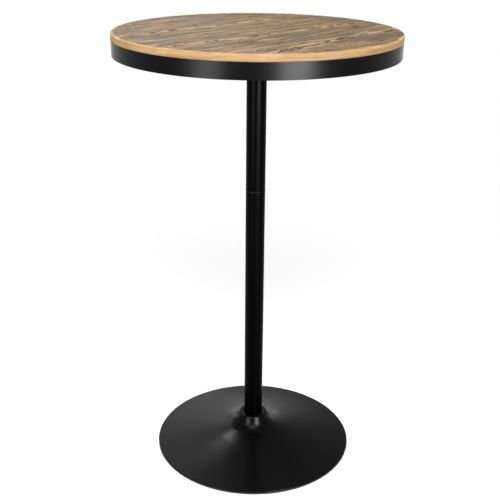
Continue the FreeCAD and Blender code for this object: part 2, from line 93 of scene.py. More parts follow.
# Seams: how deep they are shown, how far a board's edge draws back, the share of painted shade on
# their walls, and the dip, the gap painted dark as shade, and the wear
SEAM_DEPTH, SEAM_LIP = 4.0 * MM, 1.3 * MM
SEAM_LIP_SHARE, SEAM_WALL_SHADE = 0.7, 0.9
SEAM_RECESS, TIGHT_RECESS, SEAM_REACH = 1.5 * MM, 0.05 * MM, 5.0 * MM
SEAM_DIP, SEAM_DIP_REACH = 1.2 * MM, 2.6 * MM
SEAM_GAP, SEAM_GAP_GROWTH, SEAM_HAIRLINE = 0.5 * MM, 2.8 * MM, 0.8 * MM
SEAM_WEAR, SEAM_WEAR_GROWTH = 1.2 * MM, 11.0 * MM
# Step between the numbers of the patterns on a seam's two sides
SEAM_SIDE_STEP = 9

# Worn rim of the top face: width, raggedness and softness, how much narrower it is to the back,
# with the shares where that starts and how it grows along and across, and the relief worn off
RIM_WIDTH, RIM_RAGGED, RIM_SOFT = 3.0 * MM, 9.0 * MM, 2.6 * MM
RIM_FADE, RIM_FADE_SHARES = 16.0 * MM, (0.25, 0.80, 0.55)
RIM_RELIEF_SHARE = 0.6

# Welds of the frame
BAND_WALL = 2.0 * MM
TAB_WIDTH = 30.0 * MM
WELD_RADIUS, POLE_WELD_RADIUS = 1.8 * MM, 2.6 * MM
DRESSED_RADIUS, DRESSED_PROUD = 1.2 * MM, 0.25 * MM
RIPPLE, RIPPLE_SHARE = 2.6 * MM, 0.13
WELD_STEP = 0.6 * MM
WELD_SIDES, RING_STEPS = 10, 180
WELD_END_SHARE, WELD_GROWTH_SHARE = 0.45, 0.14
UPWARD = (0, 0, 1)

# Splits are drawn longer, wider and shallower than listed, so that they show at a low angle
SPLIT_LENGTH_SHARE, SPLIT_WIDTH_SHARE, SPLIT_DEPTH_SHARE = 1.4, 1.75, 0.55
# How far a split wanders and jitters, as shares of its width, and its soft edge and worn lip
SPLIT_WANDER_SHARE, SPLIT_JITTER_SHARE = 1.4, 0.8
SPLIT_SOFT, SPLIT_LIP = 0.3 * MM, 3.0 * MM
# Splits in the boards: along, across, length, width, depth (mm) and slant (degrees)
SPLITS = (
    (-198, 122, 30, 9.0, 3.0, 12), (-137, 126, 28, 9.0, 3.0, 14), (-165, 137, 22, 5.0, 2.4, 8),
    (-262, 121, 22, 6.0, 2.6, 10), (-242, 103, 20, 5.0, 2.2, 10), (-235, 140, 16, 4.0, 2.0, 10),
    (-25, 131, 26, 5.5, 2.6, 22), (-22, 160, 16, 4.0, 2.0, 20), (-6, 117, 24, 4.0, 2.0, 18),
    (120, 120, 30, 6.5, 2.8, 18), (216, 122, 44, 6.5, 3.2, 16), (178, 117, 40, 3.6, 2.0, 16),
    (262, 118, 14, 7.0, 2.6, 0), (-27, 262, 22, 4.5, 2.0, 26), (-172, 246, 16, 5.0, 1.8, 20),
    (-268, -52, 26, 7.0, 2.8, 12), (-234, -41, 14, 4.0, 2.0, 8), (-189, -50, 15, 6.0, 2.4, 4),
    (-167, -47, 15, 7.0, 2.4, 4), (-120, -76, 20, 5.5, 2.8, 22), (-20, -53, 18, 7.5, 2.6, 10),
    (22, -51, 12, 4.0, 1.6, 0), (122, -60, 46, 4.2, 2.2, 8), (172, -62, 18, 8.0, 2.6, 6),
    (215, -50, 18, 7.0, 2.4, 6), (248, -57, 28, 8.0, 3.0, 10), (160, -42, 24, 3.0, 1.6, 6),
    (-280, -17, 22, 5.0, 2.0, 14), (-168, -237, 24, 5.0, 2.8, 20), (-146, -225, 28, 7.0, 3.4, 22),
    (-100, -222, 44, 9.5, 4.0, 16), (-134, -238, 52, 5.5, 3.0, 9), (-58, -224, 34, 5.5, 2.6, 8),
    (1, -205, 34, 4.6, 2.8, 24), (-20, -196, 14, 5.0, 2.0, 6), (47, -198, 32, 8.0, 3.2, 12),
    (118, -196, 12, 4.0, 1.8, 0), (137, -189, 16, 8.5, 3.0, 8), (220, -189, 46, 7.5, 3.2, 12),
    (265, -161, 24, 6.0, 2.6, 10), (-190, -200, 22, 5.0, 1.6, 8), (-88, 16, 70, 1.8, 1.2, 4),
    (30, 60, 80, 1.6, 1.0, -3), (90, -120, 70, 1.6, 1.0, 5), (-60, 210, 80, 1.5, 1.0, -2),
    (60, 230, 54, 1.8, 1.0, 3), (-190, -150, 46, 1.8, 1.0, 4), (10, -262, 56, 1.8, 1.2, 6),
)
# Knots: along, across, half length, half width and depth (mm), all with one slant
KNOT_SLANT = math.radians(7)
KNOTS = (
    (-151, -109, 10, 4, 1.2), (-246, -22, 9, 4, 1.0), (168, 196, 8, 4, 1.0),
    (75, -232, 10, 4, 1.2), (60, -150, 9, 4, 1.0),
)
# Darker and paler stretches: along, across, half length, half width (mm) and strength
STAINS = (
    (0, -92, 64, 24, 0.8), (28, -135, 74, 36, 0.7), (76, -228, 76, 32, 0.9),
    (172, -236, 72, 28, 0.9), (-150, -110, 44, 20, 0.7), (-250, -112, 40, 14, 0.5),
    (-225, 62, 66, 28, 0.5), (165, -112, 90, 40, 0.6), (-90, 10, 76, 32, 0.35),
    (-235, -18, 44, 18, 0.5), (238, 84, 50, 20, 0.8), (272, 22, 44, 28, 0.5),
    (-258, 106, 30, 14, 0.5), (-225, 160, 60, 18, 0.4), (70, 190, 150, 34, 0.35),
    (205, 170, 60, 34, 0.45), (-60, -160, 70, 16, 0.45), (120, 40, 90, 14, 0.35),
)
PALES = (
    (-96, 122, 70, 9, 0.8), (-30, 110, 60, 8, 0.8), (110, 126, 56, 8, 0.9),
    (-207, 113, 30, 7, 0.9), (-160, 119, 24, 6, 1.0), (60, 100, 90, 8, 0.4),
    (-215, -54, 44, 9, 0.8), (-112, -63, 34, 9, 1.0), (40, -61, 90, 9, 0.7),
    (148, -64, 56, 6, 0.9), (182, -47, 34, 6, 0.8), (228, -66, 30, 5, 0.7),
    (-104, -234, 60, 5, 1.0), (-80, -206, 44, 9, 0.8), (6, -188, 50, 8, 0.8),
    (32, -211, 30, 7, 0.9), (152, -180, 40, 6, 0.6), (186, -190, 30, 8, 0.7),
    (-150, -250, 44, 6, 0.7), (-120, 42, 110, 9, 0.5), (-150, 166, 60, 8, 0.6),
    (-60, 186, 90, 10, 0.45), (130, 158, 110, 9, 0.4), (-190, -176, 70, 8, 0.6),
    (130, 8, 130, 7, 0.4), (-20, 268, 60, 9, 0.4),
)

# Patterns on the boards: cells along and across the grain (mm), seed and octaves
PATTERNS = {
    "sway": (180, 90, 5, 3), "broad": (150, 22, 11, 2), "brushed": (95, 3.2, 23, 3),
    "spot_edge": (60, 5, 71, 3), "split_lip": (9, 4, 47, 3), "knot": (6, 4, 53, 3),
    "rim": (10, 10, 61, 3),
}
# Patterns along one numbered line, such as a seam: cell (mm) and seed
LINE_PATTERNS = {
    "split_wander": (12, 31), "split_jitter": (4, 37), "split_width": (7, 43),
    "seam_opening": (42, 83), "seam_side": (30, 89),
}
LINE_SPACING, LINE_OCTAVES = 7.3, 2
# Numbers that scramble the cells of the noise
HASH_X, HASH_Y, HASH_SEED, HASH_MIX = 374761393, 668265263, 974634777, 1274126177
HASH_MASK, HASH_PART = 0xFFFFFFFF, 0xFFFF

# Colours of the wood, with a near-black for knots and for the shade painted in splits and seam gaps
TONES = {
    "dark": (0.125, 0.084, 0.047), "mid": (0.286, 0.187, 0.098), "light": (0.462, 0.302, 0.162),
    "line": (0.058, 0.040, 0.025), "pore": (0.036, 0.025, 0.016), "pale": (0.640, 0.430, 0.246),
    "stain": (0.086, 0.068, 0.046), "worn": (0.720, 0.485, 0.285), "crack": (0.020, 0.015, 0.010),
    "warm": (0.345, 0.195, 0.104), "olive": (0.198, 0.160, 0.096),
    "side": (0.650, 0.356, 0.146), "side_mid": (0.800, 0.500, 0.236),
    "side_pale": (0.870, 0.620, 0.350),
}
# Streaks of the wood: repeats per metre along and across the grain, detail, roughness, shift (m)
STREAKS = {
    "broad": (4.0, 46.0, 4.0, 0.6, (0.0, 0.0)), "medium": (7.0, 120.0, 3.0, 0.6, (0.0, 0.0)),
    "fine": (9.0, 300.0, 5.0, 0.65, (0.0, 0.0)), "pores": (60.0, 1500.0, 3.0, 0.6, (0.0, 0.0)),
    "blotch": (13.0, 34.0, 3.0, 0.6, (3.1, 1.7)), "gash": (22.0, 95.0, 3.0, 0.6, (1.3, 2.9)),
    "bright": (8.0, 130.0, 3.0, 0.6, (5.2, 0.8)), "ring_sway": (3.2, 16.0, 2.0, 0.6, (0.0, 0.0)),
    "side_slope": (2.5, 13.0, 2.0, 0.6, (0.0, 0.0)), "side_patch": (9.0, 9.0, 2.0, 0.6, (0.0, 0.0)),
}
# Layers of the grain, under and over the late wood: streaks, where they start and are full,
# strength and tone
UNDER_LAYERS = (
    ("medium", 0.5, 0.68, 0.85, "light"), ("medium", 0.5, 0.3, 0.75, "dark"),
    ("fine", 0.45, 0.68, 0.75, "light"), ("fine", 0.47, 0.3, 0.95, "line"),
)
OVER_LAYERS = (
    ("pores", 0.44, 0.26, 0.6, "pore"), ("blotch", 0.52, 0.7, 0.5, "warm"),
    ("blotch", 0.48, 0.3, 0.6, "olive"), ("bright", 0.58, 0.68, 0.85, "pale"),
    ("gash", 0.42, 0.32, 0.9, "pore"),
)
# Masks over the grain, in order: tone, span of the fine streaks, and strength at its two ends
MASK_LAYERS = {
    "stain": ("stain", 0.75, 0.35, 0.2, 0.75),
    "wear": ("worn", 0.3, 0.55, 0.45, 1.0),
    # Near-black over knots, and painted shade inside splits, open seam gaps and seam walls
    "crack": ("crack", 0.3, 0.6, 1.0, 0.85),
}
PALE_STRENGTH = 0.6
# Shift of the grain from board to board (m), its bends, its rings, and the grain of the side
BOARD_SHIFT = (0.83, 0.37, 0.21)
BEND_SCALE, GRAIN_BEND = 5.0, 22.0 * MM
RING_SPACING, RING_SWAY = 8.5 * MM, 7.0
SIDE_STRETCH, SIDE_BANDS = (7.0, 7.0, 260.0), 6.0
WOOD_GLOSS, WOOD_ROUGHNESS, WOOD_BUMP = 0.1, (0.6, 0.78), 0.35 * MM

# Coats, metals and dull stuffs: repeats per metre, depths, shares of the colour, and roughness
COAT_CLOUDS, COAT_PEEL, TARNISH = 7.0, 1500.0, 90.0
PEEL_DEPTH, LAY_DEPTH = 0.04 * MM, 0.04 * MM
LAY_STRETCH = (1, 1, 6)
COAT_SHARES, TARNISH_SHARE, SPECKLE_SHARE = (0.7, 0.7, 0.68), 0.72, 0.6
NOISE_SPAN = (0.3, 0.7)
COAT_ROUGH_SPREAD, DULL_ROUGH_SPREAD = 0.03, 0.06
METAL_ROUGH_LESS, METAL_ROUGH_MORE = 0.08, 0.1

# Camera, fitted to the photograph's outlines: place (m), lens and sensor (mm), turns (radians)
CAMERA_PLACE = (0.0226, -1.9493, 1.3123)
CAMERA_LENS, CAMERA_SENSOR = 62.58, 36.0
CAMERA_TILT, CAMERA_PAN, CAMERA_ROLL = 0.3825, -0.0176, 0.0089
# Lamps: degrees round from the camera's side, distance, height, width and length (m), watts, and
# the height (m) on the table's axis that they face
LAMPS = {
    "front_high": (0, 2.5, 3.1, 2.4, 1.4, 88, 0.9),
    "overhead": (180, 0.4, 3.3, 2.4, 2.4, 8, 1.0),
    "strip_right": (29, 3.2, 1.35, 1.35, 2.3, 525, 1.0),
    "strip_left": (-35, 3.2, 1.35, 1.15, 2.3, 190, 1.0),
    "rear_left": (-143, 2.1, 2.7, 0.6, 0.6, 47, 0.1),
    "rear_broad": (-155, 3.2, 1.9, 2.6, 2.0, 36, 0.1),
    "rear_low": (180, 3.4, 0.7, 4.5, 1.1, 6, 0.1),
    "rear_glow": (180, 3.4, 0.22, 1.5, 0.35, 3, 0.1),
    "rear_tall": (-168, 2.2, 2.5, 1.5, 0.8, 3, 0.1),
}
# Lamps that only give the coat its highlights
SHEEN_LAMPS = ("strip_right", "strip_left", "rear_left", "rear_broad", "rear_low",
               "rear_glow", "rear_tall")
FILL_LIGHT, BACKGROUND = 0.3, 1.0
FLOOR_HALF, FLOOR_PAINT, FLOOR_GLOW = 16.0, 0.8, 0.6
FLOOR_NEAR, FLOOR_FAR = 0.8, 2.6


# Seeded value noise in two directions, from 0 to 1

def lattice(ix, iy, seed):
    """A fixed random value for each cell."""
    mixed = (ix * HASH_X + iy * HASH_Y + seed * HASH_SEED) & HASH_MASK
    mixed = ((mixed ^ (mixed >> 13)) * HASH_MIX) & HASH_MASK
    return ((mixed ^ (mixed >> 16)) & HASH_PART) / HASH_PART


def smooth(x):
    """An even step up from 0 to 1."""
    x = np.clip(x, 0.0, 1.0)
    return x * x * (3 - 2 * x)


def noise(x, y, seed):
    """Values that pass smoothly from cell to cell."""
    fx, fy = np.floor(x), np.floor(y)
    ix, iy = fx.astype(np.int64), fy.astype(np.int64)
    tx, ty = smooth(x - fx), smooth(y - fy)
    low = lattice(ix, iy, seed) * (1 - tx) + lattice(ix + 1, iy, seed) * tx
    high = lattice(ix, iy + 1, seed) * (1 - tx) + lattice(ix + 1, iy + 1, seed) * tx
    return low * (1 - ty) + high * ty


def cloud(x, y, seed, octaves=3):
    """Noise with finer and fainter noise on it."""
    total, weight = 0.0, 0.0
    for octave in range(octaves):
        gain = 0.5 ** octave
        total = total + noise(x * 2 ** octave, y * 2 ** octave, seed + octave) * gain
        weight += gain
    return total / weight


def patches(along, across, name):
    """A named pattern over the boards."""
    cell_along, cell_across, seed, octaves = PATTERNS[name]
    return cloud(along / (cell_along * MM), across / (cell_across * MM), seed, octaves)


def lively(along, number, name):
    """A named pattern along one line only, such as a seam."""
    cell, seed = LINE_PATTERNS[name]
    line = np.full_like(along, LINE_SPACING * number)
    return cloud(along / (cell * MM), line, seed, LINE_OCTAVES)


# Surface of the boards

def turned(along, across, spot_along, spot_across, slant=0.0):
    """Distances from a spot, along and across its own slant from the grain."""
    off_along, off_across = along - spot_along * MM, across - spot_across * MM
    cosine, sine = math.cos(slant), math.sin(slant)
    return off_along * cosine + off_across * sine, off_across * cosine - off_along * sine


def field(along, across, spots):
    """The sum of long soft spots, with edges broken up along the grain."""
    total = np.zeros_like(along)
    ragged = patches(along, across, "spot_edge") - 0.5
    for spot_along, spot_across, half_length, half_width, strength in spots:
        off_along, off_across = turned(along, across, spot_along, spot_across)
        reach = (off_along / (half_length * MM)) ** 2 + (off_across / (half_width * MM)) ** 2
        total += strength * smooth(1.25 - 0.8 * reach + 1.6 * ragged)
    return np.clip(total, 0, 1)


def seam_opening(along, number):
    """How far a seam has opened up, from 0 to 1, in stretches along it."""
    return smooth(3.0 * lively(along, number, "seam_opening") - 1.35)


def add_splits(along, across, depth, crack, wear):
    """Long torn splits, painted near-black inside as shade, with worn lips here and there."""
    for number, (spot_along, spot_across, length, width, deep, slant) in enumerate(SPLITS):
        off_along, off_across = turned(along, across, spot_along, spot_across, math.radians(slant))
        half = SPLIT_LENGTH_SHARE * length * MM / 2
        wander = SPLIT_WANDER_SHARE * (lively(off_along, number, "split_wander") - 0.5)
        jitter = SPLIT_JITTER_SHARE * (lively(off_along, number, "split_jitter") - 0.5)
        gap = np.abs(off_across + width * MM * (wander + jitter))
        taper = np.clip(1 - (off_along / half) ** 2, 0, 1)
        uneven = 0.55 + 0.9 * lively(off_along, number, "split_width")
        opening = SPLIT_WIDTH_SHARE * width * MM / 2 * taper * uneven
        inside = smooth(1.6 - gap / (opening + SPLIT_SOFT)) * (np.abs(off_along) < half)
        lip = np.exp(-((gap - opening) / SPLIT_LIP) ** 2) * smooth(1.6 - np.abs(off_along) / half)
        lip_wear = 0.9 * lip * smooth(2 * patches(off_along, off_across, "split_lip"))
        # The inside of a split is painted near-black, as shade in the hollow
        np.maximum(crack, inside, out=crack)
        np.maximum(depth, SPLIT_DEPTH_SHARE * deep * MM * inside, out=depth)
        np.maximum(wear, lip_wear, out=wear)


def add_knots(along, across, depth, crack):
    """Small dark knots with rings."""
    for spot_along, spot_across, half_length, half_width, deep in KNOTS:
        off_along, off_across = turned(along, across, spot_along, spot_across, KNOT_SLANT)
        wobble = 0.5 * (patches(off_along, off_across, "knot") - 0.5)
        reach = np.hypot(off_along / (half_length * MM), off_across / (half_width * MM)) + wobble
        rings = 0.5 + 0.5 * np.cos(9 * reach)
        np.maximum(crack, smooth(1.3 - reach) * (0.5 + 0.4 * rings), out=crack)
        np.maximum(depth, deep * MM * smooth(1.1 - reach) * (0.5 + 0.5 * rings), out=depth)


def add_seams(along, across, depth, crack, wear):
    """Seams that gape in stretches, painted dark as shade where they gape, worn pale to both sides.
    """
    for number, (share, turn) in enumerate(zip(SEAM_SHARES, SEAM_TURNS)):
        gap = across - share * TOP_RADIUS - math.tan(turn) * along
        near, opened = np.abs(gap), seam_opening(along, number)
        side = lively(along, number + SEAM_SIDE_STEP * (gap > 0), "seam_side")
        width = SEAM_WEAR + SEAM_WEAR_GROWTH * side ** 2
        worn = (0.15 + 1.1 * side) * np.exp(-(near / width) ** 2)
        np.maximum(wear, np.clip(worn, 0, 1), out=wear)
        # Where a seam gapes, the gap is painted dark, as shade in the hollow; the hairline is a
        # dark joint
        dark = 0.95 * opened * smooth(1.35 - near / (SEAM_GAP + SEAM_GAP_GROWTH * opened))
        hairline = 0.35 * smooth(1.2 - near / SEAM_HAIRLINE)
        np.maximum(crack, np.maximum(dark, hairline), out=crack)
        np.maximum(depth, SEAM_DIP * opened * np.exp(-(near / SEAM_DIP_REACH) ** 2), out=depth)


def top_surface(along, across):
    """Depth below the top's plane, and the masks that the wood's colours follow."""
    line = across + GRAIN_SWAY * (patches(along, across, "sway") - 0.5)
    broad, brushed = patches(along, line, "broad"), patches(along, line, "brushed")
    depth = BROAD_RELIEF * (1 - broad) + BRUSHED_RELIEF * smooth(1.15 - 1.7 * brushed)
    crack, wear = np.zeros_like(along), np.zeros_like(along)
    add_splits(along, line, depth, crack, wear)
    add_knots(along, line, depth, crack)
    add_seams(along, across, depth, crack, wear)
    return depth, crack, wear


# Boards: every row is one closed loop round the board's section, and the rows are lofted

def edge_levels():
    """Radius and height of a loop's points at the round edge, from the top face down."""
    levels = []
    for step in range(EDGE_STEPS + 1):
        angle = math.pi / 2 * step / EDGE_STEPS
        levels.append((TOP_RADIUS - EDGE_ROUND * (1 - math.sin(angle)),
                       TOP_Z - EDGE_ROUND * (1 - math.cos(angle))))
    start, stop = TOP_Z - EDGE_ROUND, BOARD_BOTTOM + LOWER_ROUND
    levels += [(TOP_RADIUS, start + share * (stop - start)) for share in SIDE_SHARES]
    for angle in (math.pi / 4, math.pi / 2):
        levels.append((TOP_RADIUS - LOWER_ROUND * (1 - math.cos(angle)),
                       stop - LOWER_ROUND * math.sin(angle)))
    return levels


LEVELS = edge_levels()
FACE_RADIUS = LEVELS[0][0]


def crossing(radius, offset, slope, side):
    """Where the line across = offset + slope * along leaves a circle."""
    root = math.sqrt(max(radius ** 2 * (1 + slope ** 2) - offset ** 2, 0.0))
    along = (-offset * slope + side * root) / (1 + slope ** 2)
    return np.array((along, offset + slope * along))


def row_end(offset, slope, rim_share, side):
    """A row's points at one end, per level: straight on at a seam, radial at the rim."""
    points = []
    for radius, _ in LEVELS:
        straight = crossing(radius, offset, slope, side)
        radial = crossing(FACE_RADIUS, offset, slope, side) * (radius / FACE_RADIUS)
        point = straight * (1 - rim_share) + radial * rim_share
        points.append(point * radius / np.linalg.norm(point))
    return points


def board_rows(low, high):
    """The rows' offsets, slopes and shares of the way to the rim, from low to high."""
    if low and high:
        steps = np.linspace(0, 1, int((high[0] - low[0]) / ROW_STEP) + 1)
        return [(low[0] * (1 - t) + high[0] * t, low[1] * (1 - t) + high[1] * t, 0.0)
                for t in steps]
    seam, sign = (high, -1) if high else (low, 1)
    start = math.asin(sign * seam[0] / FACE_RADIUS)
    sweep = LAST_ROW_ANGLE - start
    steps = np.linspace(0, 1, int(sweep * FACE_RADIUS / ROW_STEP) + 1)
    rows = [(sign * FACE_RADIUS * math.sin(start + sweep * t), seam[1] * (1 - t), t) for t in steps]
    return rows[::sign]


def board_loop(row):
    """One section loop: up the left edge, over the top face, down the right edge."""
    left, right = row_end(*row, -1), row_end(*row, 1)
    span = np.linspace(0, 1, COLUMNS + 1)[:, None]
    face = left[0] * (1 - span) + right[0] * span
    heights = np.array([height for _, height in LEVELS[1:]])
    z = np.concatenate([heights[::-1], np.full(len(face), TOP_Z), heights])
    return np.column_stack([np.vstack([left[:0:-1], face, right[1:]]), z])


def loft(name, grid, masks, finish):
    """A closed mesh over rows of closed loops, with a flat cap at each end."""
    count, size = grid.shape[:2]
    start = np.arange(count - 1)[:, None] * size
    here, following = np.arange(size)[None, :], (np.arange(size)[None, :] + 1) % size
    quads = np.stack([start + here, start + following, start + following + size,
                      start + here + size], -1).reshape(-1, 4).tolist()
    caps = [list(range(size))[::-1], list(range((count - 1) * size, count * size))]
    mesh = bpy.data.meshes.new(name)
    mesh.from_pydata(grid.reshape(-1, 3).tolist(), [], quads + caps)
    for mask, values in masks.items():
        layer = mesh.attributes.new(mask, "FLOAT", "POINT")
        layer.data.foreach_set("value", values.astype(np.float32).ravel())
    mesh.shade_smooth()
    mesh.set_sharp_from_angle(angle=SHARP_ANGLE)
    mesh.materials.append(finish)
    piece = bpy.data.objects.new(name, mesh)
    bpy.context.scene.collection.objects.link(piece)
    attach(piece, "root")
    return piece


def worn_rim(along, across, radius, on_face):
    """Share of pale wood: ragged on the face's rim, narrower to the back, whole on the side."""
    start_share, along_share, across_share = RIM_FADE_SHARES
    fade = smooth(start_share + (along_share * along + across_share * across) / TOP_RADIUS)
    width = RIM_WIDTH + RIM_RAGGED * patches(along, across, "rim") - RIM_FADE * fade
    return np.where(on_face, smooth((radius - TOP_RADIUS + width) / RIM_SOFT), 1.0)


def side_shrink(along, across, z, radius):
    """Factor that draws the dented side in towards the axis."""
    round_cells = SIDE_DENT_TURNS * np.arctan2(across, along)
    dent = SIDE_DENT * cloud(round_cells, z / SIDE_DENT_HEIGHT, SIDE_DENT_SEED)
    return np.where(radius > FACE_RADIUS, 1 - dent / TOP_RADIUS, 1)


def open_seam(seam, along, across, z, rim, end):
    """Draws a board's first or last rows back from their seam, and adds steps down its wall,
    painted dark as shade.
    """
    line, upper = across[end].copy(), z > TOP_Z - SEAM_DEPTH
    inward = 1 if end == 0 else -1
    recess = inward * (1 - rim[end]) * (TIGHT_RECESS + SEAM_RECESS * seam_opening(along[end], seam))
    across = across + upper * recess * np.exp(-np.abs(across - line) / SEAM_REACH)
    steps = []
    # The steps down the seam's wall are painted dark, as shade
    for drop, share in ((SEAM_LIP, SEAM_LIP_SHARE), (SEAM_DEPTH, 0.0)):
        sunk = np.minimum(z[end], TOP_Z - drop * (1 - rim[end]))
        steps.append(np.column_stack([along[end], line + share * upper[end] * recess, sunk,
                                      np.full_like(line, SEAM_WALL_SHADE), np.zeros_like(line),
                                      rim[end]]))
    return across, steps


def build_board(number, low, high, finish):
    """One board between two seams, or between a seam and the rim where one is None."""
    loops = np.array([board_loop(row) for row in board_rows(low, high)])
    along, across, z = (loops[..., axis] for axis in range(3))
    radius, on_face = np.hypot(along, across), z > TOP_Z - EDGE_ROUND / 2
    depth, crack, wear = top_surface(along, across)
    rim = worn_rim(along, across, radius, on_face)
    z = z - np.where(on_face, depth * (1 - RIM_RELIEF_SHARE * rim), 0)
    shrink = side_shrink(along, across, z, radius)
    along, across = along * shrink, across * shrink

    before, after = [], []
    if low:
        across, before = open_seam(number - 1, along, across, z, rim, 0)
    if high:
        across, after = open_seam(number - 2, along, across, z, rim, -1)
    rows = np.stack([along, across, z, crack, wear, rim], -1)
    rows = np.array([*before[::-1], *rows, *after])
    along, across, z, crack, wear, rim = np.moveaxis(rows, -1, 0)
    cosine, sine = math.cos(GRAIN_TURN), math.sin(GRAIN_TURN)
    grid = np.stack([along * cosine - across * sine, along * sine + across * cosine, z], -1)
    masks = {"crack": crack, "wear": wear, "rim": rim,
             "stain": field(along, across, STAINS), "pale": field(along, across, PALES)}
    piece = loft(f"wood_board_{number}", grid, masks, finish)
    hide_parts(f"top_board_{number}")


def table_top():
    """The four boards, from the back left to the front right."""
    seams = [(share * TOP_RADIUS, math.tan(turn)) for share, turn in zip(SEAM_SHARES, SEAM_TURNS)]
    edges = [None, *seams, None]
    for number, (high, low) in enumerate(zip(edges, edges[1:]), start=1):
        build_board(number, low, high, weathered_wood(number))


# Welds

def bead(name, path, across_way, radius, slot, closed=False):
    """A rippled round weld bead along a path square to across_way, thin at its open ends."""
    corners = [Vector(point) for point in path]
    ends = corners[1:] + corners[:1] if closed else corners[1:]
    samples = []
    for start, stop in zip(corners, ends):
        count = max(int((stop - start).length / WELD_STEP), 1)
        samples += [start.lerp(stop, step / count) for step in range(count)]
    samples.append(samples[0] if closed else corners[-1])
    way = Vector(across_way)
    rows = []
    for index, point in enumerate(samples):
        last = len(samples) - 1
        before, after = samples[max(index - 1, 0)], samples[min(index + 1, last)]
        if closed and index in (0, last):
            before, after = samples[-2], samples[1]
        side = (after - before).normalized().cross(way)
        swell = 1 + RIPPLE_SHARE * math.cos(2 * math.pi * index * WELD_STEP / RIPPLE)
        end_steps = last if closed else min(index, last - index)
        swell *= min(1.0, WELD_END_SHARE + WELD_GROWTH_SHARE * end_steps)
        rows.append([point + radius * swell * (math.cos(turn) * side + math.sin(turn) * way)
                     for turn in (2 * math.pi * n / WELD_SIDES for n in range(WELD_SIDES))])
    piece = loft(name, np.array(rows), {}, FINISHES[slot])


def ring_path(radius, height):
    """Points of a level circle about the table's axis."""
    return [(radius * math.cos(a), radius * math.sin(a), height)
            for a in (2 * math.pi * n / RING_STEPS for n in range(RING_STEPS))]


def spun(points, quarter):
    """Points turned by quarters or eighths of a turn about the table's axis."""
    turn = Matrix.Rotation(math.pi / 2 * quarter, 3, "Z")
    return [tuple(turn @ Vector(point)) for point in points]


def welds():
    """Beads round the frame's joints and the pole's plate, and the band's dressed seam."""
    inside = BAND_RADIUS - BAND_WALL
    arm = (TUBE_HIGH.y - TUBE_LOW.y) / 2
    end_x = math.sqrt(inside ** 2 - arm ** 2) - WELD_RADIUS / 2
    tube_end = [(end_x, -arm, TUBE_HIGH.z), (end_x, -arm, TUBE_LOW.z), (end_x, arm, TUBE_LOW.z),
                (end_x, arm, TUBE_HIGH.z)]
    hub_edge = [(HUB_HIGH.x, -arm, TUBE_LOW.z), (HUB_HIGH.x, arm, TUBE_LOW.z)]
    half_tab = TAB_WIDTH / 2
    tab_x = math.sqrt(inside ** 2 - half_tab ** 2) - WELD_RADIUS / 2
    tab_edge = [(tab_x, -half_tab, TAB_LOW.z), (tab_x, half_tab, TAB_LOW.z)]
    for quarter in range(4):
        outward = spun([(1, 0, 0)], quarter)[0]
        for name, path, across_way in (("tube_weld", spun(tube_end, quarter), outward),
                                       ("hub_weld", spun(hub_edge, quarter), UPWARD),
                                       ("tab_weld", spun(tab_edge, quarter + 0.5), UPWARD)):
            bead(f"{name}_{quarter + 1}", path, across_way, WELD_RADIUS, "frame_steel")
    bead("pole_weld", ring_path(POLE_HIGH.x, POLE_HIGH.z - POLE_WELD_RADIUS / 2), UPWARD,
         POLE_WELD_RADIUS, "pole_steel", closed=True)
    for name, y in (("band_weld_outside", BAND_RADIUS + DRESSED_PROUD - DRESSED_RADIUS),
                    ("band_weld_inside", inside - DRESSED_PROUD + DRESSED_RADIUS)):
        path = [(0, y, BAND_LOW.z + DRESSED_RADIUS), (0, y, BAND_HIGH.z - DRESSED_RADIUS)]
        bead(name, path, (1, 0, 0), DRESSED_RADIUS, "band_steel")


# Materials

